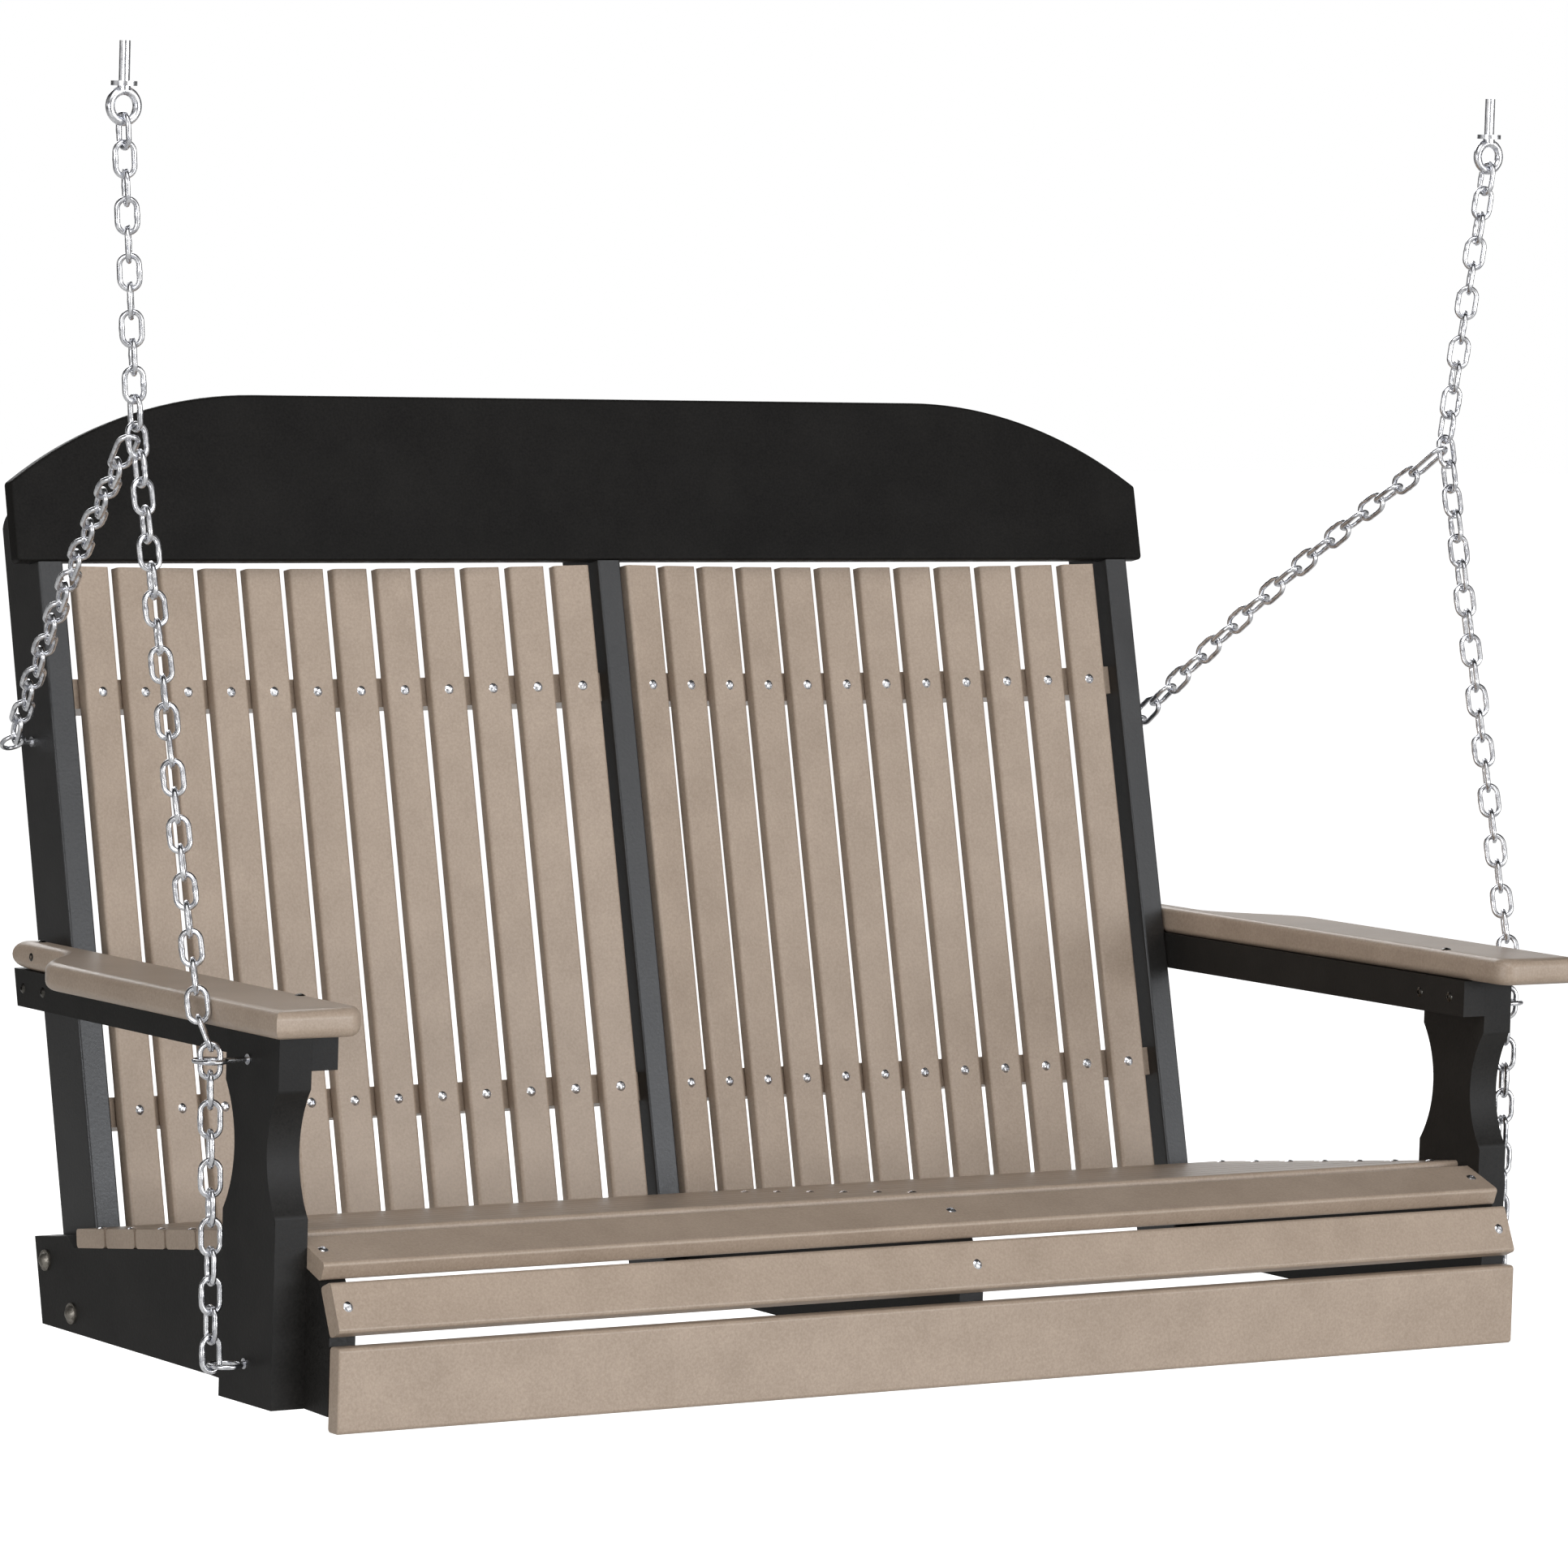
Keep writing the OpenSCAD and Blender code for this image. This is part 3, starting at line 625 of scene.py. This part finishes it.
def screwMesh(s, length):
    # a low domed head with a square drive on a plain shank, its seat at z 0
    r, h, flat = s["head"] / 2, s["rise"], s["socket"] / 2
    ball = (r * r + h * h) / (2 * h)  # radius of the ball that the dome is cut from
    rings = [(s["shank"] / 2, -length, False), (s["shank"] / 2, 0, False), (r, 0, False)]
    rings += [(r * part, None, False) for part in s["domeRings"]]
    mouth, wall, base = (flat * part for part in s["socketRings"])
    rings += [(mouth, None, True), (wall, h * (1 - s["mouthDepth"]), True)]
    rings += [(base, h - s["socketDepth"], True)]
    bm = bmesh.new()
    rows = []
    for radius, z, square in rings:
        row = []
        for k in range(s["sides"]):
            a = 2 * math.pi * (k + 0.5) / s["sides"]
            x, y = math.cos(a), math.sin(a)
            reach = radius / max(abs(x), abs(y)) if square else radius
            up = math.sqrt(ball * ball - reach * reach) - ball + h if z is None else z
            row.append(bm.verts.new((x * reach, y * reach, up)))
        rows.append(row)
    for low, high in zip(rows, rows[1:]):
        for k in range(s["sides"]):
            n = (k + 1) % s["sides"]
            bm.faces.new((low[k], low[n], high[n], high[k]))
    bm.faces.new(rows[-1])
    bm.faces.new(rows[0][::-1])
    mesh = bpy.data.meshes.new("screw")
    bm.to_mesh(mesh)
    bm.free()
    mesh.shade_smooth()
    mesh.set_sharp_from_angle(angle=math.radians(s["sharpAngle"]))
    return mesh


def screwTree():
    tree, g = newTree("placedScrews", [("Screw", "Object"), ("Material", "Material")])
    given = g.add("NodeGroupInput")
    screw = g.add("GeometryNodeObjectInfo", {"Object": given.outputs["Screw"]})
    placeEach(g, given, screw.outputs["Geometry"])
    return tree


def makeScrews(s):
    tree = screwTree()
    count = 0
    for name in [n for n in nodes if n.endswith("screws")]:
        places, turns = [], []
        for k, points in enumerate(solidsOf(name)):
            axes, middle, half = principalAxes(points)
            along = Vector(axes[2])
            off = points - middle
            reach = off @ axes[2]
            wide = np.linalg.norm(off - np.outer(reach, axes[2]), axis=1)
            if reach[wide.argmax()] < 0:  # the head is the widest part
                along = -along
            spin = Quaternion((0, 0, 1), s["spin"] * k)
            turns.append((along.to_track_quat("Z", "Y") @ spin).to_euler()[:])
            places.append(Vector(middle) + along * (half[2] - s["rise"]))
            length = 2 * half[2] - s["rise"]
        if name == "arm_screws":  # each arm's tail has one more, from its side
            for side in (-1, 1):
                turns.append(Vector((side, 0, 0)).to_track_quat("Z", "Y").to_euler()[:])
                places.append((side * s["tailScrew"][0], *s["tailScrew"][1:]))
        model = bpy.data.objects.new("screwModel", screwMesh(s, length))
        scene.collection.objects.link(model)
        cloud = pointCloud(name + "_places", places, turns, [(1, 1, 1)] * len(places))
        values = {"Screw": model, "Material": finishOf[name]}
        bake(cloud, tree, values, name + "_heads", nodes[name]["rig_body"], name)
        bpy.data.objects.remove(model)
        count += len(places)
    print("screws", count)


makeScrews(screws)

# arm boards

arms = {
    "tail": 0.0245,  # width of the rear tail
    "step": (0.190, 0.086),  # where the outer edge draws in to the tail, from the rear end
    "round": 0.0088,  # of the long edges and the front
    "endRound": 0.0122,  # of the tail's end
    "innerRound": 0.0055,  # of the inner edge, which lies beside the upright
    "corner": 0.018,  # of the inner front corner, seen from above
    "steps": 14,
    "ringSteps": 6,
    "trim": 0.00005,  # keeps the board inside its CAD box
}


def armPlan(s, wide, long):
    # outline from above as (out, back, edge radius), against the clock for a right arm
    plan = [(wide, 0, s["round"])]
    front, rear = long - s["step"][0], long - s["step"][1]
    for k in range(s["steps"] + 1):
        t = k / s["steps"]
        out = s["tail"] + (wide - s["tail"]) * (1 + math.cos(math.pi * t)) / 2
        plan.append((out, front + (rear - front) * t, s["round"]))
    plan.append((s["tail"], long - 2 * s["endRound"], s["round"]))
    plan.append((s["tail"], long, s["endRound"]))
    plan.append((0, long, s["endRound"]))
    plan.append((0, long - 2 * s["endRound"], s["innerRound"]))
    plan.append((0, front, s["innerRound"]))
    for k in range(s["steps"] + 1):
        a = math.pi * (1 + 0.5 * k / s["steps"])
        plan.append((s["corner"] * (1 + math.cos(a)), s["corner"] * (1 + math.sin(a)), s["round"]))
    return plan


def armMesh(name, s):
    # the board as rings of its outline, drawn in along the rounded edges below and above
    points = np.array([v.co[:] for v in nodes[name].data.vertices])
    low, high = points.min(0) + s["trim"], points.max(0) - s["trim"]
    side = 1 if low[0] > 0 else -1
    inner = low[0] if side > 0 else -high[0]
    wide, long = high[0] - low[0], high[1] - low[1]
    plan = armPlan(s, wide, long)
    bm = bmesh.new()
    rows = []
    for upper in (False, True):
        for k in range(s["ringSteps"] + 1):
            a = math.pi / 2 * (1 - k / s["ringSteps"] if upper else k / s["ringSteps"])
            row = []
            for n, (out, back, r) in enumerate(plan):
                before, after = Vector(plan[n - 1][:2]), Vector(plan[(n + 1) % len(plan)][:2])
                here = Vector((out, back))
                past, ahead = (here - before).normalized(), (after - here).normalized()
                # the outward normals of the two sides that meet here, joined to a mitre
                first, second = Vector((past.y, -past.x)), Vector((ahead.y, -ahead.x))
                mitre = (first + second) / (1 + first.dot(second))
                x, y = here - mitre * r * (1 - math.sin(a))
                rise = r * (1 - math.cos(a))
                z = high[2] - rise if upper else low[2] + rise
                row.append(bm.verts.new((side * (inner + x), low[1] + y, z)))
            rows.append(row)
    for below, above in zip(rows, rows[1:]):
        for n in range(len(plan)):
            m = (n + 1) % len(plan)
            bm.faces.new((below[n], below[m], above[m], above[n]))
    bm.faces.new(rows[0][::-1])
    bm.faces.new(rows[-1])
    bmesh.ops.recalc_face_normals(bm, faces=bm.faces)
    mesh = bpy.data.meshes.new(name)
    bm.to_mesh(mesh)
    bm.free()
    return mesh


# boards

boards = {
    "edge": 0.0011,  # wear radius of the sawn edges
    "slatEdge": 0.0019,  # the slats' edges are softer
    "edgeSteps": 2,
    "sharpAngle": 50,  # edges sharper than this are worn
    "flatAngle": 0.4,  # faces that turn less than this are one
    "shadeAngle": 38,
    "samePlace": 1e-5,
    "flatWeight": 80,
    "rounded": ("arm_board", "crest_board"),  # their edges are rounded already
}


def softBoard(name, s, finish):
    mesh = armMesh(name, arms) if name.startswith("arm_board") else nodes[name].data.copy()
    mesh.name = name + "_soft"
    bm = bmesh.new()
    bm.from_mesh(mesh)
    bmesh.ops.remove_doubles(bm, verts=bm.verts, dist=s["samePlace"])
    edge = s["slatEdge"] if "slat" in name or "fascia" in name else s["edge"]
    if not name.startswith(s["rounded"]):
        bmesh.ops.dissolve_limit(
            bm, angle_limit=math.radians(s["flatAngle"]), verts=bm.verts, edges=bm.edges
        )
        hard = [
            e
            for e in bm.edges
            if len(e.link_faces) == 2 and e.calc_face_angle(0) > math.radians(s["sharpAngle"])
        ]
        bmesh.ops.bevel(
            bm,
            geom=hard,
            offset=edge,
            segments=s["edgeSteps"],
            profile=0.5,
            affect="EDGES",
            clamp_overlap=True,
        )
    bm.to_mesh(mesh)
    bm.free()
    mesh.materials.clear()
    mesh.materials.append(finish)
    mesh.shade_smooth()
    mesh.set_sharp_from_angle(angle=math.radians(s["shadeAngle"]))
    rough = bpy.data.objects.new(name + "_rough", mesh)
    scene.collection.objects.link(rough)
    # flat faces keep their own normals beside the rounded edges
    even = rough.modifiers.new("even", "WEIGHTED_NORMAL")
    even.keep_sharp = True
    even.weight = s["flatWeight"]
    graph = bpy.context.evaluated_depsgraph_get()
    done = bpy.data.meshes.new_from_object(rough.evaluated_get(graph), depsgraph=graph)
    bpy.data.objects.remove(rough)
    board = bpy.data.objects.new(name + "_board", done)
    scene.collection.objects.link(board)
    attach(board, nodes[name]["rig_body"])
    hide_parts(name)


boardNames = [n for n in nodes if not any(w in n for w in steelWords)]
for name in boardNames:
    softBoard(name, boards, finishOf[name])
print("boards", len(boardNames))
